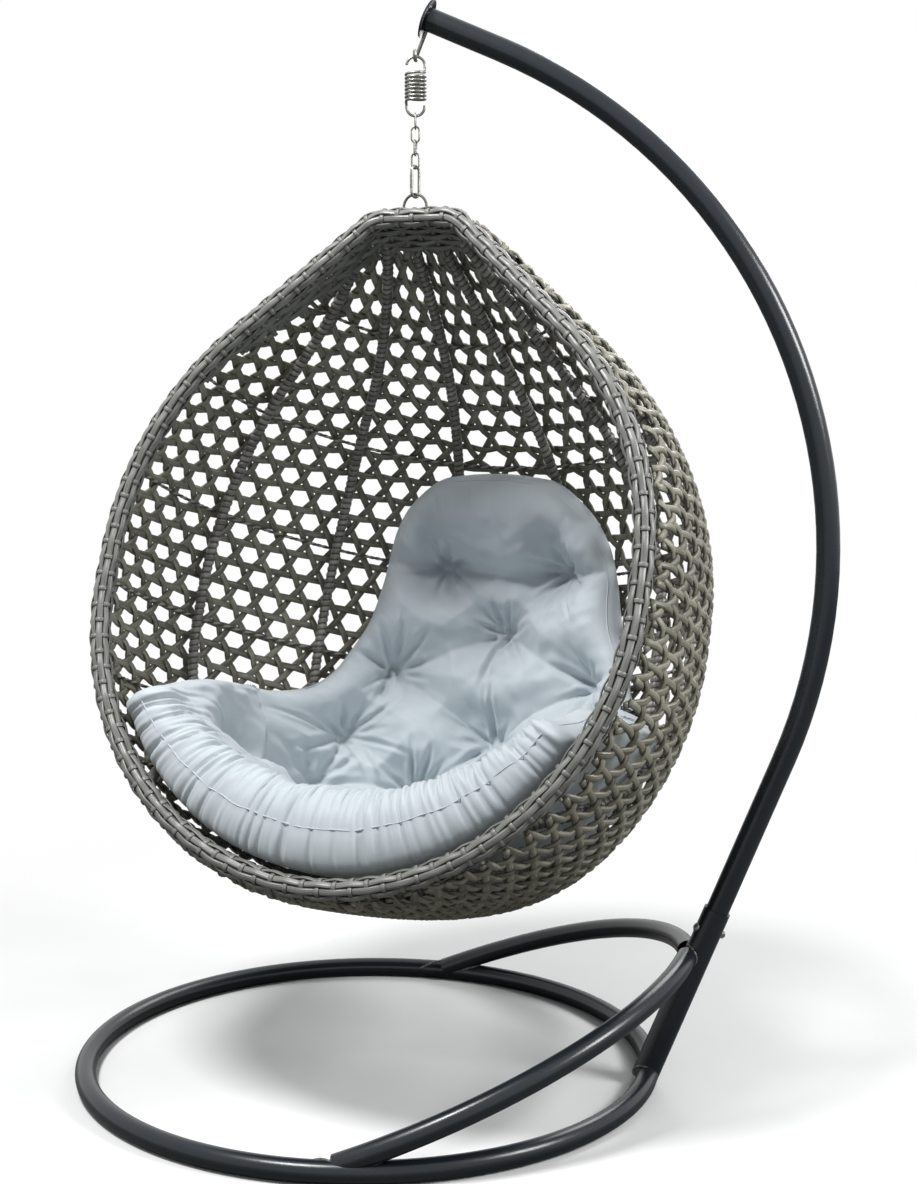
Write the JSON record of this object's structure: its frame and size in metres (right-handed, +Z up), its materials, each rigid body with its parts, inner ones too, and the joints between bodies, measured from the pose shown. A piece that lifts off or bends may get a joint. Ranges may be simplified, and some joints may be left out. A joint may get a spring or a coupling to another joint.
{
  "type": "hanging egg chair",
  "caption": "Open wicker egg basket with a tufted cushion, hung by a spring and chain from a curved pole on a round tubular base ring.",
  "frame": {"origin": "on the floor, under the middle of the whole chair's bounding box", "axes": "+X towards the pole's side, +Y to the back of the stand, +Z up; at rest the basket faces -Y, turned 15 degrees to the -X side"},
  "size_m": [1.3912, 1.09, 1.9538],
  "materials": {
    "stand_paint": "satin charcoal powder coat, fine speckle",
    "rim_paint": "satin black paint under the braid",
    "zinc": "zinc plate, slightly dull",
    "wicker": "half-round synthetic cane, grey-brown with lighter streaks, satin",
    "cushion_cloth": "smooth light grey-blue polyester, sewn tufts"
  },
  "bodies": {
    "stand": {"base_ring": "stand_paint", "brace_left": "stand_paint", "brace_right": "stand_paint", "socket_tube": "stand_paint", "socket_bolt": "zinc", "socket_nut": "zinc", "pole": "stand_paint", "end_plate": "stand_paint", "hanging_hook": "zinc"},
    "spring": {"spring": "zinc"},
    "link_1": {"chain_link_1": "zinc"},
    "link_2": {"chain_link_2": "zinc"},
    "link_3": {"chain_link_3": "zinc"},
    "link_4": {"chain_link_4": "zinc"},
    "snap_hook": {"snap_hook_body": "zinc", "gate_pin": "zinc"},
    "gate": {"snap_hook_gate": "zinc"},
    "basket": {"top_loop": "zinc", "rim_tube": "rim_paint", "rim_braid": "wicker", "rib_1": "wicker", "rib_2": "wicker", "rib_3": "wicker", "rib_4": "wicker", "rib_5": "wicker", "rib_6": "wicker", "hoop_1": "wicker", "hoop_2": "wicker", "hoop_3": "wicker", "hoop_4": "wicker", "hoop_5": "wicker", "hoop_6": "wicker", "hoop_7": "wicker", "weave_1": "wicker", "weave_2": "wicker", "weave_3": "wicker", "weave_4": "wicker", "weave_5": "wicker", "weave_6": "wicker", "weave_7": "wicker"},
    "cushion": {"cushion": "cushion_cloth"}
  },
  "joints": [
    {"name": "swing_fore_aft", "type": "hinge", "parent": "stand", "child": "spring", "pos_m": [-0.06782, 0, 1.84997], "axis": [0, 1, 0], "range_deg": [-4, 12]},
    {"name": "spring_stretch", "type": "slide", "parent": "spring", "child": "link_1", "axis": [0, 0, -1], "range_m": [-0.011, 0.06], "stiffness_N_per_m": 19000, "springref_m": -0.02287, "deforming": ["spring"]},
    {"name": "swing_sideways", "type": "hinge", "parent": "link_1", "child": "link_2", "pos_m": [-0.06782, 0, 1.73416], "axis": [0.9994, 0.0349, 0], "range_deg": [-12, 12]},
    {"name": "basket_swivel", "type": "hinge", "parent": "link_2", "child": "snap_hook", "pos_m": [-0.06782, 0, 1.66311], "axis": [0, 0, 1], "range_deg": [-48, 90]},
    {"name": "link_3_twist", "type": "hinge", "parent": "link_2", "child": "link_3", "pos_m": [-0.06782, 0, 1.70931], "axis": [0, 0, 1], "range_deg": [-16, 30]},
    {"name": "link_4_twist", "type": "hinge", "parent": "link_2", "child": "link_4", "pos_m": [-0.06782, 0, 1.68622], "axis": [0, 0, 1], "range_deg": [-32, 60]},
    {"name": "basket_nod", "type": "hinge", "parent": "snap_hook", "child": "basket", "pos_m": [-0.06782, 0, 1.61591], "axis": [0.9659, -0.2588, 0], "range_deg": [-12, 12]},
    {"name": "snap_gate", "type": "hinge", "parent": "snap_hook", "child": "gate", "pos_m": [-0.073, -0.00797, 1.62902], "axis": [-0.8387, 0.5446, 0], "range_deg": [0, 22], "stiffness_Nm_per_rad": 0.05, "springref_deg": -11.46},
    {"name": "cushion_lift_out", "type": "slide", "parent": "basket", "child": "cushion", "axis": [-0.2432, -0.9077, 0.342], "range_m": [0, 0.3]}
  ],
  "couplings": [
    {"joint": "link_3_twist", "follows": "basket_swivel", "ratio": 0.33333},
    {"joint": "link_4_twist", "follows": "basket_swivel", "ratio": 0.66667}
  ]
}
